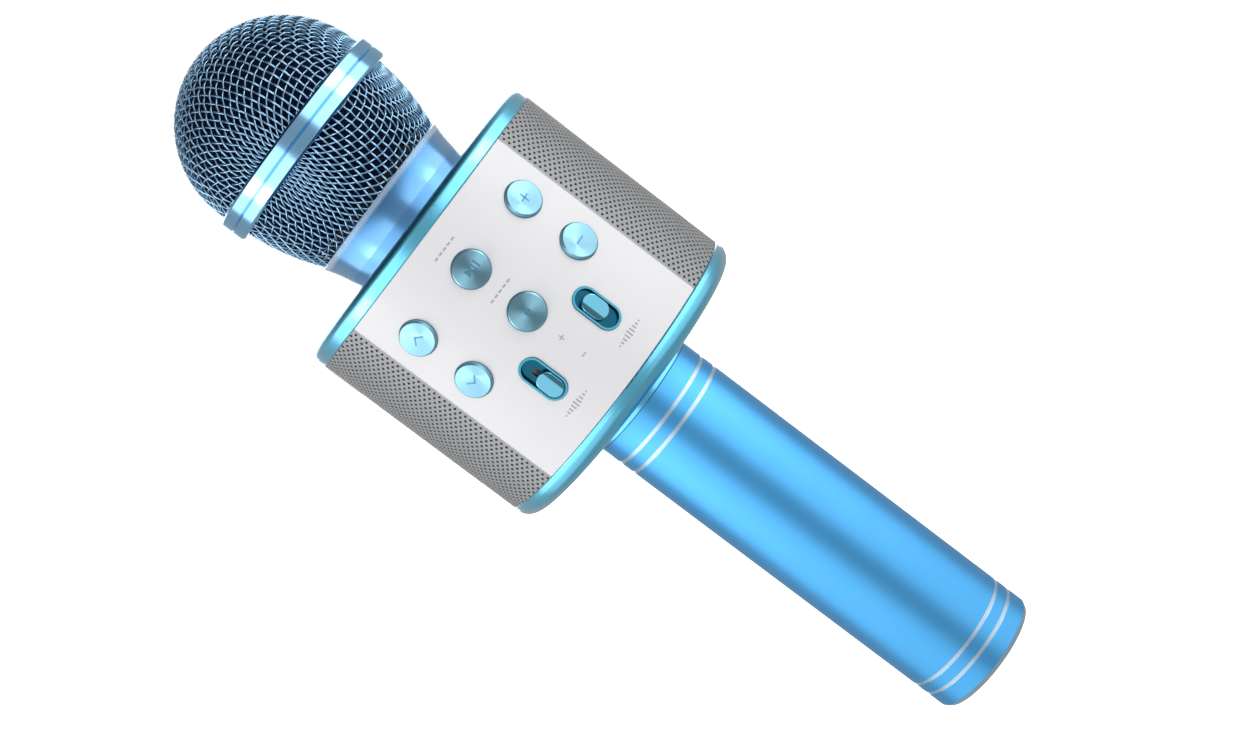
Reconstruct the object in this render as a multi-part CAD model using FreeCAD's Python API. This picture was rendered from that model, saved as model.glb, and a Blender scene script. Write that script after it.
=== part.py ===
"""Hand-held karaoke microphone with a loudspeaker drum, in millimetres.

+Z runs along the handle towards the woven head. The control panel faces -Y, and +X is on the right
of someone looking at it. The origin is the centre of the handle's flat end face.
"""
import FreeCAD, Part
import math
import os
from FreeCAD import Vector

# ---- driving dimensions ----
# Handle
handle_r = 16.65
handle_wall = 1.2
handle_length = 109.8
end_chamfer_height = 1.3
end_chamfer_depth = 0.75
groove_width = 1.0
groove_depth = 0.25
groove_pitch = 3.95
groove_from_end = 6.3
groove_from_neck = 5.8
cap_thickness = 2.2
cap_skirt_height = 8.0
cap_skirt_wall = 2.0
cap_groove_r = 12.0
cap_groove_width = 1.2
cap_groove_depth = 0.4
neck_ring_height = 3.8
neck_ring_round = 0.3

# Battery and its tray
battery_r = 9.2
battery_length = 65.0
battery_round = 0.6
tray_wall = 1.5
tray_plate = 2.0
contact_thickness = 0.4
contact_height = 4.0
contact_r = 6.0

# Drum housing
housing_r = 41.5
bottom_rim_height = 5.4
top_rim_height = 4.5
rim_floor = 2.0
rim_wall = 2.0
bottom_rim_round = 4.0
top_rim_round = 2.4
rim_edge_round = 0.4
panel_inset = 0.2
panel_wall = 1.8
panel_half_angle = 42.6
grille_wall = 0.8
cloth_wall = 0.3
seam_gap = 0.1

# Chassis
plate_thickness = 2.0
locating_ring_height = 2.2
locating_ring_wall = 2.0
spigot_wall = 2.4
spigot_length = 32.0
neck_tube_r = 13.5
neck_tube_wall = 2.0
neck_tube_height = 15.6
baffle_thickness = 2.0
baffle_margin = 2.0

# Buttons, measured along the panel's normal
button_r = 4.6
button_proud = 0.9
button_chamfer = 0.35
button_flange = 0.7
button_flange_thickness = 0.8
button_flange_gap = 0.3
button_stem_r = 2.0
button_stem_length = 4.6
button_side_gap = 0.15
button_angle = 29.3
button_row_gap = 5.55
row_above_bezel = 0.8
panel_over_boss = 2.65

# Key switches and their boards
switch_width = 6.0
switch_height = 3.5
plunger_r = 1.7
plunger_height = 0.7
plunger_gap = 0.6
board_thickness = 1.6
board_corner_gap = 0.5
board_end_margin = 2.4
boss_r = 2.2
boss_gap = 0.6

# Slide controls
slider_angle = 14.4
slider_height_on_panel = 16.3
bezel_width = 6.3
bezel_height = 12.8
bezel_wall = 0.5
bezel_proud = 0.25
bezel_depth = 1.1
bezel_flange = 1.0
bezel_flange_thickness = 0.7
bezel_hole_gap = 0.1
knob_width = 4.8
knob_height = 7.2
knob_top = 0.75
knob_lift = 0.15
knob_edge_round = 0.3
knob_crown_r = 12.0
knob_travel = 4.2  # from one end of the well to the other
knob_left_at = -2.1
knob_right_at = 0.5
wiper_size = 1.2
wiper_side_gap = 0.3
wiper_reach = 2.8
pot_width = 5.0
pot_end_margin = 2.6
pot_depth = 4.0

# Loudspeakers
driver_r = 20.0
driver_flange = 1.5
driver_surround = 2.5
driver_depth = 11.5
driver_back_r = 13.0
driver_back = 1.2
driver_frame_wall = 1.0
driver_side_gap = 1.0
driver_mouth_gap = 1.0
cone_thickness = 0.5
cone_depth = 6.5
surround_width = 2.0
dust_cap_r = 6.0
dust_cap_rise = 1.2
magnet_r = 11.0
magnet_thickness = 8.0
magnet_round = 0.8

# Main board and the sockets on the back panel
main_board_depth = 14.0
main_board_width = 40.0
main_board_height = 48.0
main_board_screw_inset = 4.0
port_pitch = 13.0
jack_block = 8.0
jack_nose_r = 3.0
jack_bore_r = 1.8
jack_bore_length = 14.0
jack_recess = 0.3
charge_width = 7.6
charge_height = 2.8
charge_wall = 0.4
charge_cavity = 5.5
charge_recess = 0.9
charge_tongue_height = 0.6
card_width = 14.0
card_height = 2.2
card_slot_width = 11.4
card_slot_height = 1.2
card_cavity = 12.0
card_recess = 0.7
port_gap = 0.3
chip_size = 9.0
chip_height = 1.2
radio_width = 9.0
radio_length = 14.0
radio_drop = 9.0
chip_gap = 2.0
radio_height = 2.2
capacitor_r = 3.0
capacitor_height = 7.0
capacitor_pitch = 9.0

# Collar and head
collar_foot_width = 6.7
collar_waist_r = 21.0
collar_lip_r = 22.85
collar_height = 9.9
collar_waist_height = 2.6
collar_floor = 2.0
collar_wall = 1.2
collar_lip_round = 0.25
collar_hollow = 0.2
collar_seat_drop = 1.5
collar_bore_drop = 3.5
basket_top_r = 26.6
basket_curve_r = 57.0
mesh_wall = 1.0
mesh_gap = 0.1
basket_foot_depth = 2.7
head_ring_height = 5.0
head_ring_floor = 2.0
head_ring_wall = 1.5
band_r = 28.9
band_height = 7.0
band_chamfer = 0.55
band_crease = 0.35
band_round = 0.3
band_web = 1.1
band_above_collar = 19.35
dome_r = 27.0
dome_skirt = 5.45
foam_gap = 0.3
foam_thickness = 5.0
foam_above_ring = 0.4
cradle_plate = 2.0
cradle_wall = 2.2
cradle_height = 9.0
cradle_hole_r = 3.0
cradle_round = 0.5
capsule_r = 10.8
capsule_length = 18.5
capsule_front_step = 1.2

# Fasteners and leads
rim_screw_inset = 11.3
head_screw_from_neck = 3.5
screw_r = 1.2
screw_head_r = 2.3
screw_head_height = 1.2
screw_length = 5.0
small_screw_r = 0.8
small_screw_head_r = 1.6
small_screw_head_height = 1.0
small_screw_length = 5.0
thread_gap = 0.05
lead_r = 0.8
lead_run = 9.0
speaker_lead_r = 0.6

# Clearances between parts that fit together
fit_gap = 0.05
seat_gap = 0.2
eps = 0.01

# ---- levels and radii that follow ----
z_neck = handle_length
z_bottom_rim = z_neck + neck_ring_height
z_panel = z_bottom_rim + bottom_rim_height
button_flange_r = button_r + button_flange
z_slider = z_panel + slider_height_on_panel
z_row_low = z_slider + bezel_height / 2 + row_above_bezel + button_flange_r
z_row_high = z_row_low + 2 * button_flange_r + button_row_gap
board_screw_levels = ((z_row_low + z_row_high) / 2, z_row_high + button_flange_r + boss_gap + boss_r)
z_top_rim = board_screw_levels[1] + boss_r + panel_over_boss
z_collar = z_top_rim + top_rim_height
z_lip = z_collar + collar_height
z_band = z_lip + band_above_collar
z_band_mid = z_band + band_height / 2
z_dome = z_band_mid + dome_skirt
z_middle = (z_panel + z_top_rim) / 2

bore_r = handle_r - handle_wall
spigot_r = bore_r - fit_gap
panel_r = housing_r - panel_inset
panel_in_r = panel_r - panel_wall
plate_r = housing_r - rim_wall - seat_gap
neck_hole_r = neck_tube_r + seat_gap
collar_foot_r = neck_hole_r + collar_foot_width
z_plate_low = z_bottom_rim + rim_floor
z_plate_high = z_collar - rim_floor
z_neck_tube = z_plate_high + neck_tube_height + rim_floor
button_face = panel_r + button_proud
button_flange_front = math.sqrt(panel_in_r**2 - button_flange_r**2) - button_flange_gap
button_flange_back = button_flange_front - button_flange_thickness
button_stem_end = button_flange_back - button_stem_length
plunger_top = button_stem_end - plunger_gap
switch_top = plunger_top - plunger_height
board_face = switch_top - switch_height
board_back = board_face - board_thickness
board_half_width = board_back * math.tan(math.radians(button_angle / 2)) - board_corner_gap
main_board_face = panel_in_r - main_board_depth
main_board_back = main_board_face - board_thickness
cloth_r = panel_r - grille_wall - cloth_wall
driver_front = math.sqrt((cloth_r - driver_side_gap) ** 2 - driver_r**2)
driver_seat = driver_front - driver_flange
driver_back_face = driver_front - driver_depth

UP = Vector(0, 0, 1)
ORIGIN = Vector(0, 0, 0)


# ---- shapes used again and again ----
def cylinder(r, low, high, x=0.0, y=0.0):
    """Upright round bar between two heights, on the Z axis unless a place is given."""
    return Part.makeCylinder(r, high - low, Vector(x, y, low))


def ring(outer, inner, low, high):
    """Tube on the Z axis between two heights."""
    return cylinder(outer, low, high).cut(cylinder(inner, low - 1, high + 1))


def outline(corners):
    """Closed face in the XZ plane; a corner is (x, z), or (x, z, radius) where it is rounded."""
    points = [Vector(c[0], 0, c[1]) for c in corners]
    stretches = []
    for i, corner in enumerate(points):
        radius = corners[i][2] if len(corners[i]) > 2 else 0
        if not radius:
            stretches.append([corner])
            continue
        back = (points[i - 1] - corner).normalize()
        ahead = (points[(i + 1) % len(points)] - corner).normalize()
        half = back.getAngle(ahead) / 2
        reach = radius / math.tan(half)
        middle = (back + ahead).normalize() * (radius / math.sin(half) - radius)
        stretches.append([corner + back * reach, corner + middle, corner + ahead * reach])
    edges = []
    for i, stretch in enumerate(stretches):
        if len(stretch) > 1:
            edges.append(Part.Arc(*stretch).toShape())
        start = stretch[-1]
        end = stretches[(i + 1) % len(stretches)][0]
        if start.distanceToPoint(end) > eps:
            edges.append(Part.makeLine(start, end))
    return Part.Face(Part.Wire(edges))


def spun(corners):
    """Solid made by turning an outline of (radius, height) corners about Z."""
    return outline(corners).revolve(ORIGIN, UP, 360)


def curved_plate(outer, inner, start, end, low, high):
    """Part of a tube's wall between two angles: 0 is the front, and +90 is the right side."""
    wedge = Part.makeCylinder(outer, high - low, Vector(0, 0, low), UP, end - start)
    plate = wedge.cut(cylinder(inner, low - 1, high + 1))
    plate.rotate(ORIGIN, UP, start - 90)
    return plate


def facing(angle, shape):
    """A copy of a front feature, turned about Z to another angle."""
    turned = shape.copy()
    turned.rotate(ORIGIN, UP, angle)
    return turned


def disc(r, near, far, z, x=0.0):
    """Round bar pointing out of the front, between two distances from the axis."""
    return Part.makeCylinder(r, far - near, Vector(x, -near, z), Vector(0, -1, 0))


def block(width, height, near, far, z, x=0.0):
    """Box pointing out of the front, between two distances from the axis."""
    return Part.makeBox(width, far - near, height, Vector(x - width / 2, -far, z - height / 2))


def capsule_bar(width, height, near, far, z):
    """Bar with an upright round-ended section, pointing out of the front."""
    reach = (height - width) / 2
    bar = block(width, 2 * reach, near, far, z)
    for end in (z - reach, z + reach):
        bar = bar.fuse(disc(width / 2, near, far, end))
    return bar.removeSplitter()


def fused(shapes):
    """One solid out of shapes that touch or overlap."""
    return shapes[0].multiFuse(shapes[1:]).removeSplitter()


def cross_screw(shaft, head, head_height, length):
    """Pan-head screw standing on Z = 0 with its shaft pointing down and a cross recess on top."""
    body = cylinder(shaft, -length, 0).fuse(cylinder(head, 0, head_height))
    slot = Part.makeBox(head, shaft / 2, head_height, Vector(-head / 2, -shaft / 4, head_height / 2))
    across = slot.copy()
    across.rotate(ORIGIN, UP, 90)
    return body.cut(slot).cut(across)


def rim_screw():
    return cross_screw(screw_r, screw_head_r, screw_head_height, screw_length)


def circle_points(radius, count, first):
    """Places on a circle about Z, from the first angle in degrees."""
    angles = [math.radians(first + 360 * i / count) for i in range(count)]
    return [(radius * math.cos(a), radius * math.sin(a)) for a in angles]


# ---- handle ----
def handle_tube():
    """Turned tube with a chamfered end and two pairs of cut grooves."""
    chamfer_r = handle_r - end_chamfer_depth
    tube = spun([
        (bore_r, 0), (chamfer_r, 0), (handle_r, end_chamfer_height), (handle_r, z_neck), (bore_r, z_neck),
    ])
    lower = groove_from_end
    upper = z_neck - groove_from_neck
    for z in (lower, lower + groove_pitch, upper - groove_pitch, upper):
        low, high = z - groove_width / 2, z + groove_width / 2
        tube = tube.cut(ring(handle_r + 1, handle_r - groove_depth, low, high))
    return tube


def end_cap():
    """Plug with a shallow ring groove in its face, closing the bottom of the tube."""
    plug = cylinder(bore_r - fit_gap, 0, cap_skirt_height)
    plug = plug.cut(cylinder(bore_r - fit_gap - cap_skirt_wall, cap_thickness, cap_skirt_height + 1))
    return plug.cut(ring(cap_groove_r, cap_groove_r - cap_groove_width, -1, cap_groove_depth))


def neck_ring():
    return spun([
        (bore_r, z_neck), (handle_r, z_neck, neck_ring_round),
        (handle_r, z_bottom_rim), (bore_r, z_bottom_rim),
    ])


z_tray = cap_skirt_height
z_battery = z_tray + tray_plate + contact_height
z_battery_top = z_battery + battery_length
z_tray_top = z_battery_top + contact_thickness + tray_plate


def battery_tray():
    """Open half trough between two end plates, which slides up the bore of the handle."""
    end_r = bore_r - seat_gap
    trough_r = battery_r + seat_gap
    trough = ring(trough_r + tray_wall, trough_r, z_tray, z_tray_top)
    front_half = Part.makeBox(4 * handle_r, 2 * handle_r, 2 * handle_length,
                              Vector(-2 * handle_r, -2 * handle_r, -1))
    lower = cylinder(end_r, z_tray, z_tray + tray_plate)
    upper = cylinder(end_r, z_tray_top - tray_plate, z_tray_top)
    return fused([trough.cut(front_half), lower, upper])


def battery():
    """Round cell with a rolled edge at each end."""
    low, high = (battery_r, z_battery, battery_round), (battery_r, z_battery_top, battery_round)
    return spun([(0, z_battery), low, high, (0, z_battery_top)])


def battery_contacts():
    """Sprung cup under the cell and flat plate over it."""
    low = z_tray + tray_plate
    cup = spun([
        (0, low), (contact_r, low), (contact_r, low + contact_thickness),
        (contact_r / 2, z_battery), (0, z_battery),
    ])
    return Part.makeCompound([cup, cylinder(contact_r, z_battery_top, z_battery_top + contact_thickness)])


# ---- drum rims and chassis ----
def rim_screw_places():
    return circle_points(plate_r - rim_screw_inset, 4, 45)


def head_screw_places():
    return circle_points(neck_tube_r + head_screw_from_neck, 3, 90)


def bottom_rim():
    """Shallow dish that carries the drum, with the neck opening and four screw pockets."""
    inner = housing_r - rim_wall
    rim = spun([
        (bore_r, z_bottom_rim), (housing_r, z_bottom_rim, bottom_rim_round),
        (housing_r, z_panel, rim_edge_round),
        (inner, z_panel), (inner, z_plate_low), (bore_r, z_plate_low),
    ])
    for x, y in rim_screw_places():
        hole = cylinder(screw_r + thread_gap, z_bottom_rim - 1, z_plate_low + 1, x, y)
        pocket = cylinder(screw_head_r + seat_gap, z_bottom_rim - 1, z_bottom_rim + screw_head_height, x, y)
        rim = rim.cut(hole).cut(pocket)
    return rim


def top_rim():
    """Lid of the drum with a rounded shoulder, and screw pockets that the collar hides."""
    inner = housing_r - rim_wall
    rim = spun([
        (neck_hole_r, z_collar), (housing_r, z_collar, top_rim_round),
        (housing_r, z_top_rim, rim_edge_round),
        (inner, z_top_rim), (inner, z_plate_high), (neck_hole_r, z_plate_high),
    ])
    for x, y in head_screw_places():
        hole = cylinder(screw_r + thread_gap, z_plate_high - 1, z_collar + 1, x, y)
        pocket = cylinder(screw_head_r + seat_gap, z_collar - screw_head_height, z_collar + 1, x, y)
        rim = rim.cut(hole).cut(pocket)
    return rim


def chassis():
    """Inner frame: spigot for the handle, two plates, two loudspeaker baffles and the neck tube."""
    low_top = z_plate_low + plate_thickness
    high_bottom = z_plate_high - plate_thickness
    spigot = cylinder(spigot_r, z_plate_low - spigot_length, z_plate_low)
    plates = [cylinder(plate_r, z_plate_low, low_top), cylinder(plate_r, high_bottom, z_plate_high)]
    rings = [
        ring(plate_r, plate_r - locating_ring_wall, low_top, low_top + locating_ring_height),
        ring(plate_r, plate_r - locating_ring_wall, high_bottom - locating_ring_height, high_bottom),
    ]
    neck = cylinder(neck_tube_r, z_plate_high, z_neck_tube)
    baffle_width = 2 * (driver_r + baffle_margin)
    baffle = Part.makeBox(baffle_thickness, baffle_width, high_bottom - low_top,
                          Vector(driver_seat - baffle_thickness, -baffle_width / 2, low_top))
    mouth = Part.makeCylinder(driver_r - driver_surround + driver_mouth_gap, 2 * housing_r,
                              Vector(-housing_r, 0, z_middle), Vector(1, 0, 0))
    baffles = [baffle.cut(mouth), facing(180, baffle).cut(mouth)]
    envelope = cylinder(plate_r, z_plate_low, z_plate_high)
    frame = fused([spigot, neck] + plates + rings + [b.common(envelope) for b in baffles])
    frame = frame.cut(cylinder(spigot_r - spigot_wall, z_plate_low - spigot_length - 1, low_top + 1))
    frame = frame.cut(cylinder(neck_tube_r - neck_tube_wall, high_bottom - 1, z_neck_tube + 1))
    for x, y in rim_screw_places():
        boss = cylinder(screw_head_r, z_plate_low, z_plate_low + screw_length, x, y)
        hole = cylinder(screw_r + thread_gap, z_plate_low - 1, z_plate_low + screw_length, x, y)
        frame = frame.fuse(boss).cut(hole)
    for x, y in head_screw_places():
        boss = cylinder(screw_head_r, z_plate_high - screw_length, z_plate_high, x, y)
        hole = cylinder(screw_r + thread_gap, z_plate_high - screw_length, z_plate_high + 1, x, y)
        frame = frame.fuse(boss).cut(hole)
    return frame


def bottom_screws():
    """Four screws driven up through the bottom rim into the chassis."""
    screws = []
    for x, y in rim_screw_places():
        screw = rim_screw()
        screw.rotate(ORIGIN, Vector(1, 0, 0), 180)
        screw.translate(Vector(x, y, z_bottom_rim + screw_head_height))
        screws.append(screw)
    return Part.makeCompound(screws)


def top_screws():
    """Three screws driven down through the top rim, under the collar."""
    screws = []
    for x, y in head_screw_places():
        screw = rim_screw()
        screw.translate(Vector(x, y, z_collar - screw_head_height))
        screws.append(screw)
    return Part.makeCompound(screws)


# ---- panels and grilles ----
seam_angle = math.degrees(seam_gap / panel_r)


def panel_shell():
    return curved_plate(panel_r, panel_in_r, -panel_half_angle, panel_half_angle, z_panel, z_top_rim)


def panel_boss(x, z, near):
    """Screw boss on the inside of a panel, reaching back to a board."""
    hole = disc(small_screw_r + thread_gap, near - 1, near + small_screw_length, z, x)
    boss = disc(boss_r, near, panel_r, z, x).cut(hole)
    return boss.common(cylinder(panel_in_r + panel_wall / 2, z_panel, z_top_rim))


def button_angles():
    return (-button_angle, 0.0, button_angle)


def front_panel():
    """Curved control panel with six button holes, two slider windows and bosses for the boards."""
    panel = panel_shell()
    for angle in button_angles():
        bosses = [facing(angle, panel_boss(0, z, board_face)) for z in board_screw_levels]
        panel = fused([panel] + bosses)
    for angle in button_angles():
        for z in (z_row_low, z_row_high):
            hole = disc(button_r + button_side_gap, panel_in_r - 2, panel_r + 2, z)
            panel = panel.cut(facing(angle, hole))
    window = capsule_bar(bezel_width + 2 * bezel_hole_gap, bezel_height + 2 * bezel_hole_gap,
                         panel_in_r - 2, panel_r + 2, z_slider)
    for angle in (-slider_angle, slider_angle):
        panel = panel.cut(facing(angle, window))
    return panel


def main_board_screw_places():
    half_x = main_board_width / 2 - main_board_screw_inset
    half_z = main_board_height / 2 - main_board_screw_inset
    return [(x, z_middle + z) for x in (-half_x, half_x) for z in (-half_z, half_z)]


def rear_panel():
    """Curved back panel with windows for the three sockets and bosses for the main board."""
    bosses = [panel_boss(x, z, main_board_face) for x, z in main_board_screw_places()]
    panel = fused([panel_shell()] + bosses)
    near, far = panel_in_r - 2, panel_r + 2
    jack_window = disc(jack_nose_r + port_gap, near, far, z_jack)
    charge_window = block(charge_width + 2 * port_gap, charge_height + 2 * port_gap, near, far, z_charge)
    card_window = block(card_width + 2 * port_gap, card_height + 2 * port_gap, near, far, z_card)
    for window in (jack_window, charge_window, card_window):
        panel = panel.cut(window)
    return facing(180, panel)


z_charge = z_middle
z_jack = z_middle + port_pitch
z_card = z_middle - port_pitch


def side_span():
    """Angles between which the right side lies between the two panels."""
    start = panel_half_angle + seam_angle
    return start, 180 - start


def speaker_grille():
    """Curved sheet over a loudspeaker. Its small round holes are left out of the solid."""
    start, end = side_span()
    return curved_plate(panel_r, panel_r - grille_wall, start, end, z_panel, z_top_rim)


def speaker_cloth():
    """Thin cloth bonded to the back of a grille."""
    start, end = side_span()
    return curved_plate(panel_r - grille_wall, cloth_r, start, end, z_panel, z_top_rim)


# ---- loudspeakers, made along +X for the right side ----
def along_x(shape):
    """Turn a piece spun about Z so that its axis runs out of the right side at mid height."""
    turned = shape.copy()
    turned.rotate(ORIGIN, Vector(0, 1, 0), 90)
    turned.translate(Vector(0, 0, z_middle))
    return turned


def speaker_frame():
    """Pressed frame: flange, cone-shaped wall and back plate."""
    inner = driver_r - driver_surround
    wall = driver_frame_wall
    back_in = driver_back_r - wall
    return along_x(spun([
        (driver_r, driver_seat), (driver_r, driver_front), (inner, driver_front), (inner, driver_seat),
        (back_in, driver_back_face + driver_back), (magnet_r / 2, driver_back_face + driver_back),
        (magnet_r / 2, driver_back_face), (driver_back_r, driver_back_face),
        (inner + wall / 2, driver_seat - wall), (inner + wall / 2, driver_seat),
    ]))


def speaker_cone():
    """Paper cone with its roll surround and dust cap, as one moulded skin."""
    rim = driver_r - driver_surround - seat_gap
    bend = rim - surround_width
    front = driver_front - seat_gap
    low = front - cone_depth
    t = cone_thickness
    half_cap = (dust_cap_r / 2, low + dust_cap_rise / 2)
    return along_x(spun([
        (rim, front), (bend, front), (dust_cap_r, low + t),
        (half_cap[0], half_cap[1] + t), (0, low + dust_cap_rise + t),
        (0, low + dust_cap_rise), half_cap, (dust_cap_r, low), (bend, front - t), (rim, front - t),
    ]))


def speaker_magnet():
    """Magnet pot fixed to the back of the frame."""
    back = driver_back_face - magnet_thickness
    front = driver_back_face
    return along_x(spun([(0, back), (magnet_r, back, magnet_round), (magnet_r, front), (0, front)]))


def speaker_lead():
    """Lead from the back of the frame round to the main board."""
    x = driver_back_face
    turn_x = x - magnet_thickness / 2
    y = driver_back_r - speaker_lead_r
    return lead(speaker_lead_r, [Vector(x, y, z_middle), Vector(turn_x, y, z_middle),
                                 Vector(turn_x, main_board_back, z_middle)])


def lead(radius, points):
    """Round lead along straight runs joined by arcs that are tangent to both."""
    first, corner, last = points
    back = (first - corner).normalize()
    ahead = (last - corner).normalize()
    half = back.getAngle(ahead) / 2
    reach = 0.45 * min(first.distanceToPoint(corner), corner.distanceToPoint(last))
    bend = reach * math.tan(half)
    middle = corner + (back + ahead).normalize() * (bend / math.sin(half) - bend)
    start, end = corner + back * reach, corner + ahead * reach
    arc = Part.Arc(start, middle, end).toShape()
    path = Part.Wire([Part.makeLine(first, start), arc, Part.makeLine(end, last)])
    section = Part.Wire(Part.makeCircle(radius, first, corner - first))
    return path.makePipeShell([section], True, False)


def battery_lead():
    """Lead from the cell up the spigot and across to the main board."""
    x = contact_r
    z = z_plate_low + plate_thickness + lead_run
    return lead(lead_r, [Vector(x, 0, z_tray_top), Vector(x, 0, z), Vector(x, main_board_back, z)])


def capsule_lead():
    """Lead from the capsule down the neck tube and across to the main board."""
    top = z_neck_tube + cradle_plate
    z = z_plate_high - plate_thickness - lead_run
    return lead(lead_r, [Vector(0, 0, top), Vector(0, 0, z), Vector(0, main_board_back, z)])


# ---- buttons, switches and boards ----
def button():
    """Round cap, retaining flange and stem, made at the front in the lower row."""
    cap = disc(button_r, button_flange_back, button_face, z_row_low)
    front_edge = [e for e in cap.Edges if e.BoundBox.YMax < -button_face + eps]
    cap = cap.makeChamfer(button_chamfer, front_edge)
    flange = disc(button_flange_r, button_flange_back, button_flange_front, z_row_low)
    stem = disc(button_stem_r, button_stem_end, button_flange_back, z_row_low)
    return fused([cap, flange, stem])


def in_row(shape, z):
    """A copy of a piece of the lower row, lifted to another row."""
    lifted = shape.copy()
    lifted.translate(Vector(0, 0, z - z_row_low))
    return lifted


def key_switches():
    """Six key switches, each a square body with a round plunger."""
    body = block(switch_width, switch_width, board_face, switch_top, z_row_low)
    one = body.fuse(disc(plunger_r, switch_top, plunger_top, z_row_low))
    rows = [one, in_row(one, z_row_high)]
    return Part.makeCompound([facing(angle, row) for angle in button_angles() for row in rows])


def switch_board():
    """Narrow board behind a column of two buttons, made at the front."""
    low = z_row_low - switch_width / 2 - board_end_margin
    high = board_screw_levels[1] + boss_r
    board = block(2 * board_half_width, high - low, board_back, board_face, (low + high) / 2)
    for z in board_screw_levels:
        board = board.cut(disc(small_screw_r + thread_gap, board_back - 1, board_face + 1, z))
    return board


def board_screw(x, z, back):
    """Small screw that comes through a board from behind, made at the front."""
    screw = cross_screw(small_screw_r, small_screw_head_r, small_screw_head_height, small_screw_length)
    screw.rotate(ORIGIN, Vector(1, 0, 0), -90)
    screw.translate(Vector(x, -back, z))
    return screw


def switch_board_screws():
    screws = [facing(a, board_screw(0, z, board_back)) for a in button_angles() for z in board_screw_levels]
    return Part.makeCompound(screws)


# ---- slide controls ----
bezel_face = panel_r + bezel_proud
well_floor = panel_r - bezel_depth
bezel_back = math.sqrt(panel_in_r**2 - (bezel_width / 2 + bezel_flange) ** 2) - bezel_flange_thickness - eps
wiper_slot = wiper_size + 2 * wiper_side_gap
wiper_slot_height = wiper_slot + knob_travel
wiper_end = bezel_back - wiper_reach


def slider_bezel():
    """Glossy recessed surround with a floor, a slot for the wiper and a hidden flange."""
    body = capsule_bar(bezel_width, bezel_height, bezel_back, bezel_face, z_slider)
    flange = capsule_bar(bezel_width + 2 * bezel_flange, bezel_height + 2 * bezel_flange,
                         bezel_back, bezel_back + bezel_flange_thickness, z_slider)
    well = capsule_bar(bezel_width - 2 * bezel_wall, bezel_height - 2 * bezel_wall,
                       well_floor, bezel_face + 1, z_slider)
    slot = block(wiper_slot, wiper_slot_height, bezel_back - 1, well_floor + 1, z_slider)
    return fused([body, flange]).cut(well).cut(slot)


def slider_knob(offset):
    """Oval knob with a crowned face and a wiper stem, the offset above the middle of the well."""
    z = z_slider + offset
    near, far = well_floor + knob_lift, panel_r + knob_top
    knob = capsule_bar(knob_width, knob_height, near, far, z)
    foot = Vector(0, knob_crown_r - far, z - knob_height)
    knob = knob.common(Part.makeCylinder(knob_crown_r, 2 * knob_height, foot, Vector(0, 0, 1)))
    front_edges = [e for e in knob.Edges if e.BoundBox.YMax < -near - knob_edge_round]
    knob = knob.makeFillet(knob_edge_round, front_edges)
    stem = block(wiper_size, wiper_size, wiper_end, near, z)
    return knob.fuse(stem).removeSplitter()


def slide_pot():
    """Potentiometer behind a slider, with a slot that the wiper runs in."""
    height = wiper_slot_height + 2 * pot_end_margin
    body = block(pot_width, height, bezel_back - pot_depth, bezel_back, z_slider)
    slot = block(wiper_slot, wiper_slot_height, wiper_end - wiper_side_gap, bezel_back + 1, z_slider)
    return body.cut(slot)


# ---- main board and sockets, made at the front and turned to the back ----
def main_board():
    board = block(main_board_width, main_board_height, main_board_back, main_board_face, z_middle)
    for x, z in main_board_screw_places():
        board = board.cut(disc(small_screw_r + thread_gap, main_board_back - 1, main_board_face + 1, z, x))
    return facing(180, board)


def main_board_screws():
    return facing(180, Part.makeCompound([board_screw(x, z, main_board_back)
                                          for x, z in main_board_screw_places()]))


def audio_jack():
    """Socket for a 3.5 mm plug, with a round nose that shows in the panel."""
    body = block(jack_block, jack_block, main_board_face, panel_in_r - 1, z_jack)
    nose = disc(jack_nose_r, panel_in_r - 1, panel_r - jack_recess, z_jack)
    bore = disc(jack_bore_r, panel_r - jack_recess - jack_bore_length, panel_r, z_jack)
    return facing(180, body.fuse(nose).cut(bore))


def charging_socket():
    """Small five-pin charging socket with a tongue in its mouth."""
    mouth = panel_r - charge_recess
    shell = block(charge_width, charge_height, main_board_face, mouth, z_charge)
    cavity = block(charge_width - 2 * charge_wall, charge_height - 2 * charge_wall,
                   mouth - charge_cavity, mouth + 1, z_charge)
    tongue = block(charge_width / 2, charge_tongue_height, mouth - charge_cavity - 1, mouth - 1, z_charge)
    return facing(180, shell.cut(cavity).fuse(tongue))


def card_socket():
    """Slot for a small memory card."""
    mouth = panel_r - card_recess
    shell = block(card_width, card_height, main_board_face, mouth, z_card)
    slot = block(card_slot_width, card_slot_height, mouth - card_cavity, mouth + 1, z_card)
    return facing(180, shell.cut(slot))


def audio_chip():
    x = -(jack_block + chip_size) / 2 - chip_gap
    return facing(180, block(chip_size, chip_size, main_board_face, main_board_face + chip_height, z_jack, x))


def radio_module():
    x = (jack_block + radio_width) / 2 + chip_gap
    far = main_board_face + radio_height
    return facing(180, block(radio_width, radio_length, main_board_face, far, z_jack - radio_drop, x))


def capacitors():
    """Two upright capacitors below the sockets."""
    cans = [disc(capacitor_r, main_board_face, main_board_face + capacitor_height, z_card - port_pitch / 2, x)
            for x in (-capacitor_pitch / 2, capacitor_pitch / 2)]
    return facing(180, Part.makeCompound(cans))


# ---- collar and head ----
def basket_edge(z, inward=0.0):
    """Radius of the basket's outer surface at a height, less an inward distance."""
    rise = z_band_mid - eps - z
    return basket_top_r - basket_curve_r + math.sqrt(basket_curve_r**2 - rise**2) - inward


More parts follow.
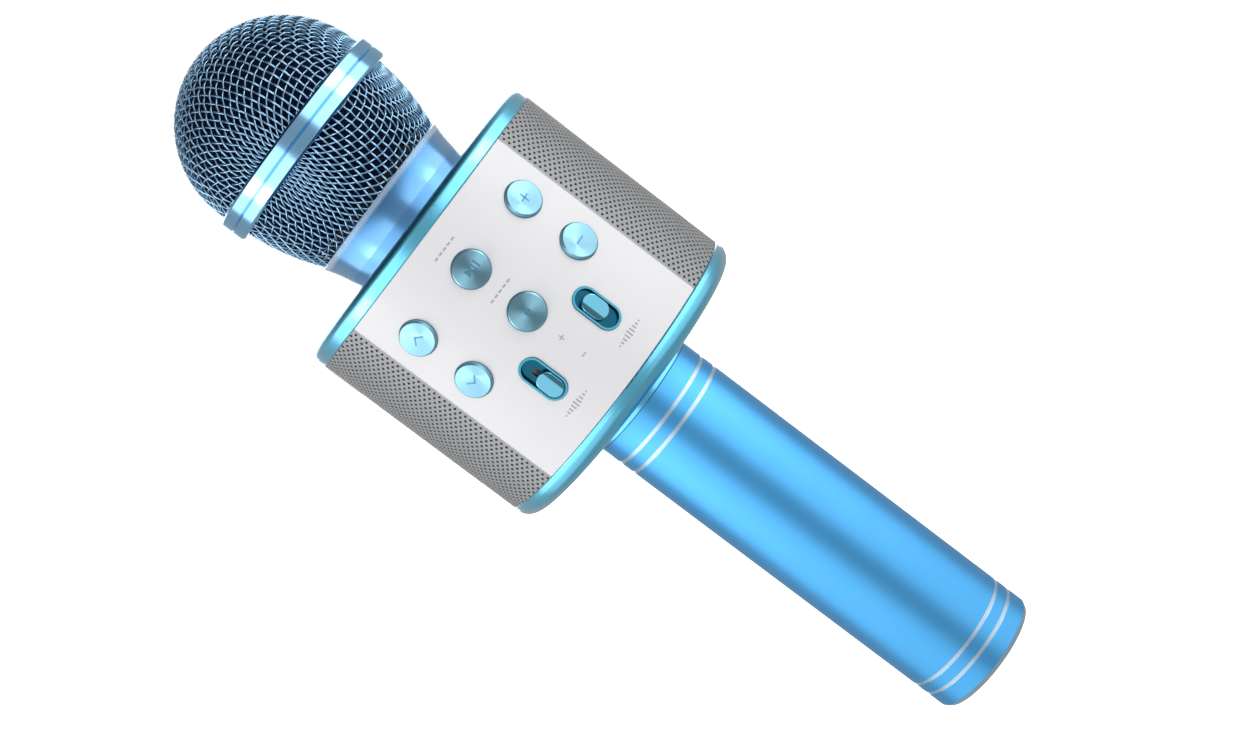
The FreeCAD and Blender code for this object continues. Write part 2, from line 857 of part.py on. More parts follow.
def basket_wall(low, high, outer, inner):
    """Band of the basket's wall between two heights, with its faces set in by two distances."""
    middle = (low + high) / 2
    points = [[Vector(basket_edge(z, d), 0, z) for z in (low, middle, high)] for d in (outer, inner)]
    outside, inside = points
    edges = [
        Part.Arc(*outside).toShape(), Part.makeLine(outside[2], inside[2]),
        Part.Arc(*reversed(inside)).toShape(), Part.makeLine(inside[0], outside[0]),
    ]
    return Part.Face(Part.Wire(edges)).revolve(ORIGIN, UP, 360)


def collar():
    """Flared ring between the drum and the head; its bore follows the basket at the lip."""
    waist = z_collar + collar_waist_height
    flare = [Vector(collar_waist_r, 0, waist),
             Vector((collar_waist_r + collar_lip_r) / 2 - collar_hollow, 0, (waist + z_lip) / 2),
             Vector(collar_lip_r, 0, z_lip - collar_lip_round)]
    lip_in = basket_edge(z_lip) + mesh_gap
    seat = z_lip - basket_foot_depth + mesh_gap
    seat_r = basket_edge(seat) + mesh_gap
    bore = collar_waist_r - collar_wall - seat_gap
    edges = [Part.makeLine(Vector(neck_hole_r, 0, z_collar), Vector(collar_foot_r, 0, z_collar)),
             Part.makeLine(Vector(collar_foot_r, 0, z_collar), flare[0]), Part.Arc(*flare).toShape()]
    inside = [
        (collar_lip_r, z_lip - collar_lip_round), (collar_lip_r - collar_lip_round, z_lip), (lip_in, z_lip),
        (seat_r, seat), (seat_r - seat_gap, seat - collar_seat_drop), (bore, seat - collar_bore_drop),
        (bore, z_collar + collar_floor), (neck_hole_r, z_collar + collar_floor), (neck_hole_r, z_collar),
    ]
    corners = [Vector(x, 0, z) for x, z in inside]
    edges += [Part.makeLine(a, b) for a, b in zip(corners, corners[1:])]
    return Part.Face(Part.Wire(edges)).revolve(ORIGIN, UP, 360)


def head_ring():
    """Threaded ring that clamps the foot of the basket and screws on to the neck tube."""
    foot = z_lip - basket_foot_depth
    top = foot + head_ring_height
    r = basket_edge(foot, mesh_wall) - mesh_gap
    return spun([
        (neck_hole_r, foot), (r, foot), (r, top), (r - head_ring_wall, top),
        (r - head_ring_wall, foot + head_ring_floor), (neck_hole_r, foot + head_ring_floor),
    ])


def grille_basket():
    """Lower bowl of the woven head, as a closed wall of the weave's outer shape."""
    low = z_lip - basket_foot_depth
    high = z_band_mid - band_web / 2
    return basket_wall(low, high, 0, mesh_wall)


def grille_dome():
    """Upper half of the woven head, as a closed wall of the weave's outer shape."""
    low = z_band_mid + band_web / 2
    centre = Vector(0, 0, z_dome)
    shell = Part.makeSphere(dome_r, centre).cut(Part.makeSphere(dome_r - mesh_wall, centre))
    cap = shell.common(cylinder(dome_r + 1, z_dome, z_dome + dome_r + 1))
    return fused([cap, ring(dome_r, dome_r - mesh_wall, low, z_dome)])


def grille_band():
    """Ring that grips both halves of the weave, with two facets meeting at a crease."""
    low, high = z_band, z_band + band_height
    inner = basket_top_r - mesh_wall - mesh_gap
    c = band_chamfer
    band = spun([
        (inner, low), (band_r - c, low, band_round), (band_r, low + c, band_round),
        (band_r, z_band_mid - band_crease), (band_r - band_crease, z_band_mid),
        (band_r, z_band_mid + band_crease),
        (band_r, high - c, band_round), (band_r - c, high, band_round), (inner, high),
    ])
    half_web = band_web / 2
    lower_seat = ring(basket_top_r + mesh_gap, inner - 1, low - 1, z_band_mid - half_web)
    upper_seat = ring(dome_r + mesh_gap, inner - 1, z_band_mid + half_web, high + 1)
    return band.cut(lower_seat).cut(upper_seat)


def windscreen_foam():
    """Thick foam liner of the dome and the basket, open underneath."""
    low = z_lip - basket_foot_depth + head_ring_height + foam_above_ring
    join = z_band_mid - eps
    outer = mesh_wall + foam_gap
    inner = outer + foam_thickness
    outer_r, inner_r = basket_edge(join, outer), basket_edge(join, inner)
    centre = Vector(0, 0, z_dome)
    skirt = ring(outer_r, inner_r, join, z_dome)
    cap = Part.makeSphere(outer_r, centre).cut(Part.makeSphere(inner_r, centre))
    cap = cap.common(cylinder(dome_r, z_dome, z_dome + dome_r))
    return fused([basket_wall(low, join, outer, inner), skirt, cap])


def capsule_cradle():
    """Rubber cup that holds the capsule on top of the neck tube."""
    r = capsule_r + fit_gap
    top = z_neck_tube + cradle_height
    seat = z_neck_tube + cradle_plate
    return spun([
        (cradle_hole_r, z_neck_tube), (neck_tube_r, z_neck_tube, cradle_round),
        (neck_tube_r, seat, cradle_round), (r + cradle_wall, seat),
        (r + cradle_wall, top, cradle_round), (r, top), (r, seat), (cradle_hole_r, seat),
    ])


def microphone_capsule():
    """Round capsule with a stepped front."""
    low = z_neck_tube + cradle_plate
    high = low + capsule_length
    step = capsule_front_step
    return spun([
        (0, low), (capsule_r, low), (capsule_r, high - step), (capsule_r - step, high - step),
        (capsule_r - step, high), (0, high),
    ])


def button_nodes():
    """Names of the six buttons with their angles and rows."""
    names = (("up", "play", "plus"), ("down", "record", "minus"))
    rows = zip((z_row_high, z_row_low), names)
    return {"button_" + name: facing(angle, in_row(button(), z))
            for z, row in rows for name, angle in zip(row, button_angles())}


nodes = {
    "handle_tube": handle_tube(),
    "end_cap": end_cap(),
    "neck_ring": neck_ring(),
    "battery_tray": battery_tray(),
    "battery": battery(),
    "battery_contacts": battery_contacts(),
    "battery_lead": battery_lead(),
    "bottom_rim": bottom_rim(),
    "top_rim": top_rim(),
    "chassis": chassis(),
    "bottom_screws": bottom_screws(),
    "top_screws": top_screws(),
    "front_panel": front_panel(),
    "rear_panel": rear_panel(),
    "key_switches": key_switches(),
    "switch_board_screws": switch_board_screws(),
    "main_board": main_board(),
    "main_board_screws": main_board_screws(),
    "audio_jack": audio_jack(),
    "charging_socket": charging_socket(),
    "card_socket": card_socket(),
    "audio_chip": audio_chip(),
    "radio_module": radio_module(),
    "capacitors": capacitors(),
    "collar": collar(),
    "head_ring": head_ring(),
    "grille_basket": grille_basket(),
    "grille_band": grille_band(),
    "grille_dome": grille_dome(),
    "windscreen_foam": windscreen_foam(),
    "capsule_cradle": capsule_cradle(),
    "microphone_capsule": microphone_capsule(),
    "capsule_lead": capsule_lead(),
}
for side, angle in (("right", 0), ("left", 180)):
    nodes["speaker_grille_" + side] = facing(angle, speaker_grille())
    nodes["speaker_cloth_" + side] = facing(angle, speaker_cloth())
    nodes["speaker_frame_" + side] = facing(angle, speaker_frame())
    nodes["speaker_cone_" + side] = facing(angle, speaker_cone())
    nodes["speaker_magnet_" + side] = facing(angle, speaker_magnet())
nodes["speaker_lead_right"] = speaker_lead()
nodes["speaker_lead_left"] = speaker_lead().mirror(ORIGIN, Vector(1, 0, 0))
for side, angle in (("left", -button_angle), ("centre", 0), ("right", button_angle)):
    nodes["switch_board_" + side] = facing(angle, switch_board())
for side, angle, offset in (("left", -slider_angle, knob_left_at), ("right", slider_angle, knob_right_at)):
    nodes["slider_bezel_" + side] = facing(angle, slider_bezel())
    nodes["slider_knob_" + side] = facing(angle, slider_knob(offset))
    nodes["slide_pot_" + side] = facing(angle, slide_pot())
nodes.update(button_nodes())

os.makedirs("parts", exist_ok=True)
for name, shape in nodes.items():
    shape.exportStep("parts/" + name + ".step")
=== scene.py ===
"""The look of a hand-held karaoke microphone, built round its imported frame.

The microphone stands on its handle's end face, with its axis along Z and its controls facing -Y.
Lengths are given in millimetres and turned to metres when a piece is finished.
"""

import math

import bmesh
import bpy
from mathutils import Matrix, Vector, noise


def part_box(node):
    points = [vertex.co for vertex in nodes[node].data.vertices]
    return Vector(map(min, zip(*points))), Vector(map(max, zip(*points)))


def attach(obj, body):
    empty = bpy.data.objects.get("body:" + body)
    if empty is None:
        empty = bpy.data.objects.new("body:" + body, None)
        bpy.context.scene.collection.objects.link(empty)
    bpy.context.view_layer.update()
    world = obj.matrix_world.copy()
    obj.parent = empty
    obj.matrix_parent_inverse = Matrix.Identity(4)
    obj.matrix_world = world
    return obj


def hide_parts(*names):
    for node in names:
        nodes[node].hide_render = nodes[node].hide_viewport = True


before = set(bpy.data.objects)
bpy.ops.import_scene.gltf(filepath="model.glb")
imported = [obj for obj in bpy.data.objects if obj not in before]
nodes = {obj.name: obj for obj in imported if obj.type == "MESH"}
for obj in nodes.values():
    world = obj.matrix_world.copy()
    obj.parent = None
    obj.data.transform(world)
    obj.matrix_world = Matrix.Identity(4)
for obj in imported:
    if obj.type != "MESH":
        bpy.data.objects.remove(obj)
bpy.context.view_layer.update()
mm = 0.001

# Sizes that a node's box doesn't give: lengths and heights in millimetres, turns round the axis in degrees
handle_skin_r = 16.6
panel_r = 41.3
button_face_r = 42.2
button_angle = 29.3
slider_angle = 14.4
well_floor_r = 40.35
deck_r = 37.5
deck_edge_r = 39.3
# Heights where the painted highlight on the collar's lip begins and is full
lip_highlight_foot = 189.5
lip_highlight_top = 190.3
dome_r = 27.0
dome_centre = 219.6
basket_top_r = 26.6
basket_curve_r = 57.0
basket_foot = 190.0
band_middle = 214.15

# The weave: the wire's radius, the distance between crossings, and the turn of the first set of wires
wire = 0.24
wire_pitch = 2.05
weave_turn = 28.0

# The foam: its outer and inner face lie this deep under the liner's own, and its foot stands this high in it
foam_skin = 0.1
foam_wall = 4.8
foam_foot = 0.2
foam_side_gap = 1.3

# The grilles: hole radius, the columns' and the rows' spacing, sheet thickness, and how deep the sheet is set
hole_r = 0.43
column_pitch = 1.32
row_pitch = 0.38
sheet_thickness = 0.75
sheet_depth = 0.4

# The cloth stops this far short of the node's width and height, and lies this deep with this much ripple
cloth_margin = 0.4
cloth_depth = 0.08
cloth_ripple = 0.04

# The marks: thickness, how far their middle stands off the face, and stroke on a button and on the panel
ink_thickness = 0.04
ink_lift = 0.01
etched_stroke = 0.4
printed_stroke = 0.3


# Nodes and colours

def colour(code):
    """Linear RGBA from an sRGB hex value."""
    parts = [int(code[i:i + 2], 16) / 255 for i in (1, 3, 5)]
    return [c / 12.92 if c <= 0.04045 else ((c + 0.055) / 1.055) ** 2.4 for c in parts] + [1.0]


def add(tree, kind, inputs=None, **settings):
    """Adds a node: settings are its own, inputs are values, or sockets to link."""
    node = tree.nodes.new("ShaderNode" + kind)
    for name, value in settings.items():
        setattr(node, name, value)
    for name, value in (inputs or {}).items():
        if isinstance(value, bpy.types.NodeSocket):
            tree.links.new(value, node.inputs[name])
        else:
            node.inputs[name].default_value = value
    return node


def blank(name):
    """An empty material, its tree and its Object coordinates."""
    material = bpy.data.materials.new(name)
    material.use_nodes = True
    material.node_tree.nodes.clear()
    tree = material.node_tree
    return material, tree, add(tree, "TexCoord").outputs["Object"]


def from_axis(tree, place):
    """Distance from the microphone's axis."""
    axes = add(tree, "SeparateXYZ", {0: place})
    flat = add(tree, "CombineXYZ", {0: axes.outputs[0], 1: axes.outputs[1]})
    return add(tree, "VectorMath", {0: flat.outputs[0]}, operation="LENGTH").outputs["Value"]


# Materials of the outside. Noise scales are in cells per metre, so 2500 is a grain of 0.4 mm.

def anodised_handle():
    """Bead-blasted aluminium, dyed blue: a satin sheen, with bright bare metal where it was cut later."""
    material, tree, place = blank("anodised_aluminium_blue")
    grain = add(tree, "TexNoise", {"Vector": place, "Scale": 2500.0, "Detail": 2.0})
    cloud = add(tree, "TexNoise", {"Vector": place, "Scale": 60.0, "Detail": 2.0})
    dye = add(tree, "Mix", {0: cloud.outputs["Fac"], 6: colour("#58B4F4"), 7: colour("#60BCFA")},
              data_type="RGBA")
    bare_cut_and_lip_highlight = add(tree, "Math", {0: from_axis(tree, place), 1: handle_skin_r * mm},
              operation="LESS_THAN")
    metal = add(tree, "Mix", {0: bare_cut_and_lip_highlight.outputs[0], 6: dye.outputs[2], 7: colour("#C4DBEC")}, data_type="RGBA")
    rough = add(tree, "MapRange", {"Value": grain.outputs["Fac"], "To Min": 0.32, "To Max": 0.42})
    dents = add(tree, "Bump", {"Height": grain.outputs["Fac"], "Strength": 0.05, "Distance": 0.02 * mm})
    skin = add(tree, "BsdfPrincipled", {
        "Base Color": metal.outputs[2], "Metallic": 1.0, "Roughness": rough.outputs[0],
        "Normal": dents.outputs[0]})
    add(tree, "OutputMaterial", {"Surface": skin.outputs[0]})
    return material


def plated_abs(name, low, high, smooth, coarse, painted_deck_sheen=None):
    """Plated ABS under a tinted lacquer: deep aqua, with near-black and cyan-white reflections.

    The deck is the flat disc that the collar stands on; its paler tint is a painted sheen for the light that
    falls on that face from above.
    """
    material, tree, place = blank(name)
    cloud = add(tree, "TexNoise", {"Vector": place, "Scale": 40.0, "Detail": 2.0})
    tint = add(tree, "Mix", {0: cloud.outputs["Fac"], 6: colour(low), 7: colour(high)}, data_type="RGBA")
    # Painted sheen: the deck gets a paler tint where its top face would catch light from above
    if painted_deck_sheen:
        edge = add(tree, "MapRange", {
            "Value": from_axis(tree, place), "From Min": deck_r * mm, "From Max": deck_edge_r * mm})
        tint = add(tree, "Mix", {0: edge.outputs[0], 6: colour(painted_deck_sheen), 7: tint.outputs[2]}, data_type="RGBA")
    rough = add(tree, "MapRange", {"Value": cloud.outputs["Fac"], "To Min": smooth, "To Max": coarse})
    skin = add(tree, "BsdfPrincipled", {
        "Base Color": tint.outputs[2], "Metallic": 1.0, "Roughness": rough.outputs[0],
        "Coat Weight": 1.0, "Coat Roughness": 0.12})
    add(tree, "OutputMaterial", {"Surface": skin.outputs[0]})
    return material


def collar_blue():
    """Aluminium, polished and then anodised: periwinkle with soft glows, and a painted highlight along the
    lip, paler and less metallic.
    """
    material, tree, place = blank("anodised_collar_blue")
    cloud = add(tree, "TexNoise", {"Vector": place, "Scale": 70.0, "Detail": 3.0})
    dye = add(tree, "Mix", {0: cloud.outputs["Fac"], 6: colour("#92C4F0"), 7: colour("#9ACCF4")},
              data_type="RGBA")
    axes = add(tree, "SeparateXYZ", {0: place})
    # Painted highlight: over the lip the colour turns pale and less metallic, standing in for light caught by
    # the rolled lip
    bare_cut_and_lip_highlight = add(tree, "MapRange", {
        "Value": axes.outputs[2], "From Min": lip_highlight_foot * mm, "From Max": lip_highlight_top * mm})
    metal = add(tree, "Mix", {0: bare_cut_and_lip_highlight.outputs[0], 6: dye.outputs[2], 7: colour("#C8DDF2")}, data_type="RGBA")
    rough = add(tree, "MapRange", {"Value": cloud.outputs["Fac"], "To Min": 0.16, "To Max": 0.2})
    lip_highlight_metallic = add(tree, "MapRange", {"Value": bare_cut_and_lip_highlight.outputs[0], "To Min": 0.95, "To Max": 0.5})
    skin = add(tree, "BsdfPrincipled", {
        "Base Color": metal.outputs[2], "Metallic": lip_highlight_metallic.outputs[0], "Roughness": rough.outputs[0],
        "Coat Weight": 0.3, "Coat Roughness": 0.1})
    add(tree, "OutputMaterial", {"Surface": skin.outputs[0]})
    return material


def white_shell():
    """Moulded ABS with a fine spark-eroded texture: neutral white with a soft sheen."""
    material, tree, place = blank("moulded_abs_white")
    sparks = add(tree, "TexNoise", {"Vector": place, "Scale": 3000.0, "Detail": 1.0})
    cloud = add(tree, "TexNoise", {"Vector": place, "Scale": 50.0, "Detail": 2.0})
    white = add(tree, "Mix", {0: cloud.outputs["Fac"], 6: colour("#E2E2E5"), 7: colour("#E8E8EA")},
                data_type="RGBA")
    rough = add(tree, "MapRange", {"Value": sparks.outputs["Fac"], "To Min": 0.34, "To Max": 0.44})
    dents = add(tree, "Bump", {"Height": sparks.outputs["Fac"], "Strength": 0.08, "Distance": 0.02 * mm})
    skin = add(tree, "BsdfPrincipled", {
        "Base Color": white.outputs[2], "Roughness": rough.outputs[0], "IOR": 1.53,
        "Normal": dents.outputs[0]})
    add(tree, "OutputMaterial", {"Surface": skin.outputs[0]})
    return material


def button_metal():
    """Spun aluminium, dyed pale blue: turning marks throw wedges of light across the face."""
    material, tree, place = blank("spun_aluminium_pale_blue")
    cloud = add(tree, "TexNoise", {"Vector": place, "Scale": 300.0, "Detail": 2.0})
    dye = add(tree, "Mix", {0: cloud.outputs["Fac"], 6: colour("#84B8CE"), 7: colour("#92C4D8")},
              data_type="RGBA")
    rough = add(tree, "MapRange", {"Value": cloud.outputs["Fac"], "To Min": 0.34, "To Max": 0.4})
    round_y = add(tree, "Tangent", direction_type="RADIAL", axis="Y")
    skin = add(tree, "BsdfPrincipled", {
        "Base Color": dye.outputs[2], "Metallic": 1.0, "Roughness": rough.outputs[0],
        "Anisotropic": 0.9, "Anisotropic Rotation": 0.25, "Tangent": round_y.outputs[0]})
    add(tree, "OutputMaterial", {"Surface": skin.outputs[0]})
    return material


def perforated_steel():
    """Punched sheet steel with a silver-grey paint: an even grey with a soft metallic glint."""
    material, tree, place = blank("painted_punched_steel")
    flakes = add(tree, "TexNoise", {"Vector": place, "Scale": 2200.0, "Detail": 1.0})
    grey = add(tree, "Mix", {0: flakes.outputs["Fac"], 6: colour("#8C8E90"), 7: colour("#A6A8AA")},
               data_type="RGBA")
    rough = add(tree, "MapRange", {"Value": flakes.outputs["Fac"], "To Min": 0.42, "To Max": 0.55})
    skin = add(tree, "BsdfPrincipled", {
        "Base Color": grey.outputs[2], "Metallic": 0.35, "Roughness": rough.outputs[0]})
    add(tree, "OutputMaterial", {"Surface": skin.outputs[0]})
    return material


def woven_wire():
    """Drawn steel wire, woven and lacquered blue: each crossing has a small bright glint."""
    material, tree, place = blank("lacquered_steel_wire")
    drawn = add(tree, "TexNoise", {"Vector": place, "Scale": 900.0, "Detail": 2.0})
    blue = add(tree, "Mix", {0: drawn.outputs["Fac"], 6: colour("#74A6CE"), 7: colour("#ACD2EA")},
               data_type="RGBA")
    rough = add(tree, "MapRange", {"Value": drawn.outputs["Fac"], "To Min": 0.18, "To Max": 0.3})
    skin = add(tree, "BsdfPrincipled", {
        "Base Color": blue.outputs[2], "Metallic": 0.85, "Roughness": rough.outputs[0]})
    add(tree, "OutputMaterial", {"Surface": skin.outputs[0]})
    return material


def band_metal():
    """Bright-plated steel with a pale blue tint: long clean reflections, split by the crease."""
    material, tree, place = blank("plated_steel_pale_blue")
    cloud = add(tree, "TexNoise", {"Vector": place, "Scale": 80.0, "Detail": 2.0})
    tint = add(tree, "Mix", {0: cloud.outputs["Fac"], 6: colour("#94CEF8"), 7: colour("#A0D6FC")},
               data_type="RGBA")
    rough = add(tree, "MapRange", {"Value": cloud.outputs["Fac"], "To Min": 0.12, "To Max": 0.18})
    skin = add(tree, "BsdfPrincipled", {
        "Base Color": tint.outputs[2], "Metallic": 1.0, "Roughness": rough.outputs[0]})
    add(tree, "OutputMaterial", {"Surface": skin.outputs[0]})
    return material


def black_foam():
    """Open-cell polyurethane foam, near black with a cold cast: pores of about 0.5 mm, no gloss."""
    material, tree, place = blank("open_cell_foam_black")
    pores = add(tree, "TexVoronoi", {"Vector": place, "Scale": 1800.0})
    dark = add(tree, "Mix", {0: pores.outputs["Distance"], 6: colour("#060A18"), 7: colour("#101A36")},
               data_type="RGBA")
    pits = add(tree, "Bump", {"Height": pores.outputs["Distance"], "Strength": 0.6, "Distance": 0.2 * mm})
    skin = add(tree, "BsdfPrincipled", {
        "Base Color": dark.outputs[2], "Roughness": 0.95, "Specular IOR Level": 0.15,
        "Normal": pits.outputs[0]})
    add(tree, "OutputMaterial", {"Surface": skin.outputs[0]})
    return material


def black_cloth():
    """Plain-woven polyester speaker cloth: black threads 0.4 mm apart, with a faint fibre sheen."""
    material, tree, _ = blank("speaker_cloth_black")
    threads = add(tree, "UVMap", uv_map="threads")
    warp = add(tree, "TexWave", {"Vector": threads.outputs[0], "Scale": 785.0}, bands_direction="X")
    weft = add(tree, "TexWave", {"Vector": threads.outputs[0], "Scale": 785.0}, bands_direction="Y")
    weave = add(tree, "Math", {0: warp.outputs["Fac"], 1: weft.outputs["Fac"]}, operation="MULTIPLY")
    black = add(tree, "Mix", {0: weave.outputs[0], 6: colour("#08080A"), 7: colour("#1B1B1F")},
                data_type="RGBA")
    relief = add(tree, "Bump", {"Height": weave.outputs[0], "Strength": 0.5, "Distance": 0.1 * mm})
    skin = add(tree, "BsdfPrincipled", {
        "Base Color": black.outputs[2], "Roughness": 0.85, "Sheen Weight": 0.15,
        "Normal": relief.outputs[0]})
    add(tree, "OutputMaterial", {"Surface": skin.outputs[0]})
    return material


def printed_ink(name, code):
    """Pad-printed ink, a few hundredths of a millimetre thick: matt, slightly uneven in density."""
    material, tree, place = blank(name)
    density = add(tree, "TexNoise", {"Vector": place, "Scale": 1500.0, "Detail": 1.0})
    share = add(tree, "Math", {0: density.outputs["Fac"], 1: 0.12}, operation="MULTIPLY")
    ink = add(tree, "Mix", {0: share.outputs[0], 6: colour(code), 7: colour("#FFFFFF")}, data_type="RGBA")
    skin = add(tree, "BsdfPrincipled", {"Base Color": ink.outputs[2], "Roughness": 0.6})
    add(tree, "OutputMaterial", {"Surface": skin.outputs[0]})
    return material


def etched_metal():
    """Button aluminium etched matt: a mark a little darker than the spun face round it."""
    material, tree, place = blank("etched_aluminium")
    bite = add(tree, "TexNoise", {"Vector": place, "Scale": 4000.0, "Detail": 1.0})
    tone = add(tree, "Mix", {0: bite.outputs["Fac"], 6: colour("#5A93B0"), 7: colour("#669EBA")},
               data_type="RGBA")
    skin = add(tree, "BsdfPrincipled", {"Base Color": tone.outputs[2], "Metallic": 0.9, "Roughness": 0.55})
    add(tree, "OutputMaterial", {"Surface": skin.outputs[0]})
    return material


def well_plating():
    """The same plating inside a slider's well, with painted shade: aqua at the lip, darkening to dark teal
    below.
    """
    material, tree, place = blank("plated_abs_well_painted_shade")
    # Painted shade: the plating darkens with depth into the well
    depth = add(tree, "MapRange", {
        "Value": from_axis(tree, place), "From Min": well_floor_r * mm, "From Max": panel_r * mm})
    tint = add(tree, "Mix", {0: depth.outputs[0], 6: colour("#1B5063"), 7: colour("#4490A9")},
               data_type="RGBA")
    skin = add(tree, "BsdfPrincipled", {
        "Base Color": tint.outputs[2], "Metallic": 1.0, "Roughness": 0.2})
    add(tree, "OutputMaterial", {"Surface": skin.outputs[0]})
    return material


# Materials of the inside

def inside(name, low, high, scale, metallic, smooth, coarse):
    """A finish with a mottle of two tones, between a smooth and a coarse roughness."""
    material, tree, place = blank(name)
    mottle = add(tree, "TexNoise", {"Vector": place, "Scale": scale, "Detail": 2.0})
    tone = add(tree, "Mix", {0: mottle.outputs["Fac"], 6: colour(low), 7: colour(high)}, data_type="RGBA")
    rough = add(tree, "MapRange", {"Value": mottle.outputs["Fac"], "To Min": smooth, "To Max": coarse})
    skin = add(tree, "BsdfPrincipled", {
        "Base Color": tone.outputs[2], "Metallic": metallic, "Roughness": rough.outputs[0]})
    add(tree, "OutputMaterial", {"Surface": skin.outputs[0]})
    return material


finishes = {
    "anodised_handle": anodised_handle(),
    "gloss_aqua": plated_abs("plated_abs_aqua", "#68CEF2", "#70D4F6", 0.26, 0.32),
    "collar_blue": collar_blue(),
    "white_shell": white_shell(),
    "button_metal": button_metal(),
    "perforated_steel": perforated_steel(),
    "woven_wire": woven_wire(),
    "band_metal": band_metal(),
    "black_foam": black_foam(),
    "black_cloth": black_cloth(),
    "cradle_rubber": inside("moulded_rubber_black", "#151517", "#222226", 900.0, 0.0, 0.6, 0.75),
    "capsule_metal": inside("turned_aluminium", "#A8ACB0", "#C2C6CA", 1500.0, 1.0, 0.25, 0.35),
    "chassis_abs": inside("moulded_abs_grey", "#3C4046", "#4A4F56", 700.0, 0.0, 0.45, 0.6),
    "circuit_board": inside("solder_mask_green", "#0E4A2E", "#146038", 300.0, 0.0, 0.25, 0.4),
    "switch_plastic": inside("moulded_nylon_black", "#101012", "#1C1C20", 900.0, 0.0, 0.35, 0.5),
    "zinc_steel": inside("zinc_plated_steel", "#B4B8BC", "#CDD2D6", 1200.0, 1.0, 0.22, 0.36),
    "socket_metal": inside("nickel_plated_steel", "#B8B6B0", "#CFCDC6", 900.0, 1.0, 0.18, 0.3),
    "cone_paper": inside("pressed_paper_cone", "#1E1E20", "#2C2C2F", 1400.0, 0.0, 0.75, 0.9),
    "magnet_iron": inside("sintered_ferrite", "#2A2A2E", "#3A3A40", 1100.0, 0.1, 0.5, 0.7),
    "cell_wrap": inside("shrink_film_blue", "#1F4FA0", "#2A60B8", 200.0, 0.0, 0.2, 0.32),
    "capacitor_sleeve": inside("shrink_sleeve_navy", "#1A2238", "#26304C", 500.0, 0.0, 0.25, 0.4),
    # Painted shade: the ring's brass is coloured near black, as dark as the shade behind the weave
    "ring_brass": inside("brass_painted_shade_near_black", "#070A14", "#0E1322", 1500.0, 0.3, 0.6, 0.75),
    "lead_pvc": inside("pvc_lead_grey", "#4A4A50", "#5A5A60", 900.0, 0.0, 0.4, 0.55),
}
ink_on_panel = printed_ink("panel_ink_grey", "#A4A8AE")
etched_mark = etched_metal()
well = well_plating()
top_plating_painted_sheen = plated_abs("plated_abs_top_painted_sheen", "#68CEF2", "#70D4F6", 0.26, 0.32, painted_deck_sheen="#A4D4F4")
knob = plated_abs("plated_abs_knob", "#4A94AC", "#529CB4", 0.06, 0.1)


# Making pieces

def finish_piece(bm, name, body, slot, replaced=(), finish=None):
    """Turns a bmesh in millimetres into a piece in metres that rides on a body."""
    bmesh.ops.scale(bm, vec=(mm, mm, mm), verts=bm.verts)
    mesh = bpy.data.meshes.new(name)
    bm.to_mesh(mesh)
    bm.free()
    return place_mesh(mesh, name, body, slot, replaced, finish)


def place_mesh(mesh, name, body, slot, replaced=(), finish=None, soft_below=35):
    """Makes a mesh in metres a piece: smooth below an angle in degrees, and in its slot's finish."""
    mesh.shade_smooth()
    mesh.set_sharp_from_angle(angle=math.radians(soft_below))
    mesh.materials.clear()
    mesh.materials.append(finish or finishes[slot])
    obj = bpy.data.objects.new(name, mesh)
    bpy.context.scene.collection.objects.link(obj)
    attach(obj, body)
    if replaced:
        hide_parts(*replaced)
    return obj


def wrapped(bm, radius, turn):
    """Rolls a flat shape round the axis: x becomes an arc, y a height, and z stands out from the radius."""
    for vert in bm.verts:
        angle = math.radians(turn) + vert.co.x / radius
        out = radius + vert.co.z
        vert.co = Vector((out * math.sin(angle), -out * math.cos(angle), vert.co.y))


def facing(bm, turn, radius, height):
    """Stands a flat shape upright at a turn round the axis, facing outwards."""
    a = math.radians(turn)
    out = Vector((math.sin(a), -math.cos(a), 0))
    along = Vector((math.cos(a), math.sin(a), 0))
    base = out * radius + Vector((0, 0, height))
    for vert in bm.verts:
        vert.co = base + along * vert.co.x + Vector((0, 0, vert.co.y)) + out * vert.co.z


def profile_spun(points, steps):
    """A closed profile of radius and height, spun once round the axis."""
    bm = bmesh.new()
    verts = [bm.verts.new((r, 0, z)) for r, z in points]
    edges = [bm.edges.new((verts[i - 1], verts[i])) for i in range(len(verts))]
    bmesh.ops.spin(bm, geom=verts + edges, cent=(0, 0, 0), axis=(0, 0, 1), angle=math.tau,
                   steps=steps, use_merge=True)
    bmesh.ops.remove_doubles(bm, verts=bm.verts, dist=1e-4)
    bmesh.ops.recalc_face_normals(bm, faces=bm.faces)
    return bm


# Woven head

class Dome:
    """The line that the dome's wires follow: half a sphere on a short straight skirt."""
    r = dome_r - 2 * wire
    pole = Vector((0, 0, dome_centre + dome_r - 2 * wire))

    def off(self, p):
        if p.z > dome_centre:
            return (p - Vector((0, 0, dome_centre))).length - self.r
        return math.hypot(p.x, p.y) - self.r

    def out(self, p):
        if p.z > dome_centre:
            return (p - Vector((0, 0, dome_centre))).normalized()
        return Vector((p.x, p.y, 0)).normalized()


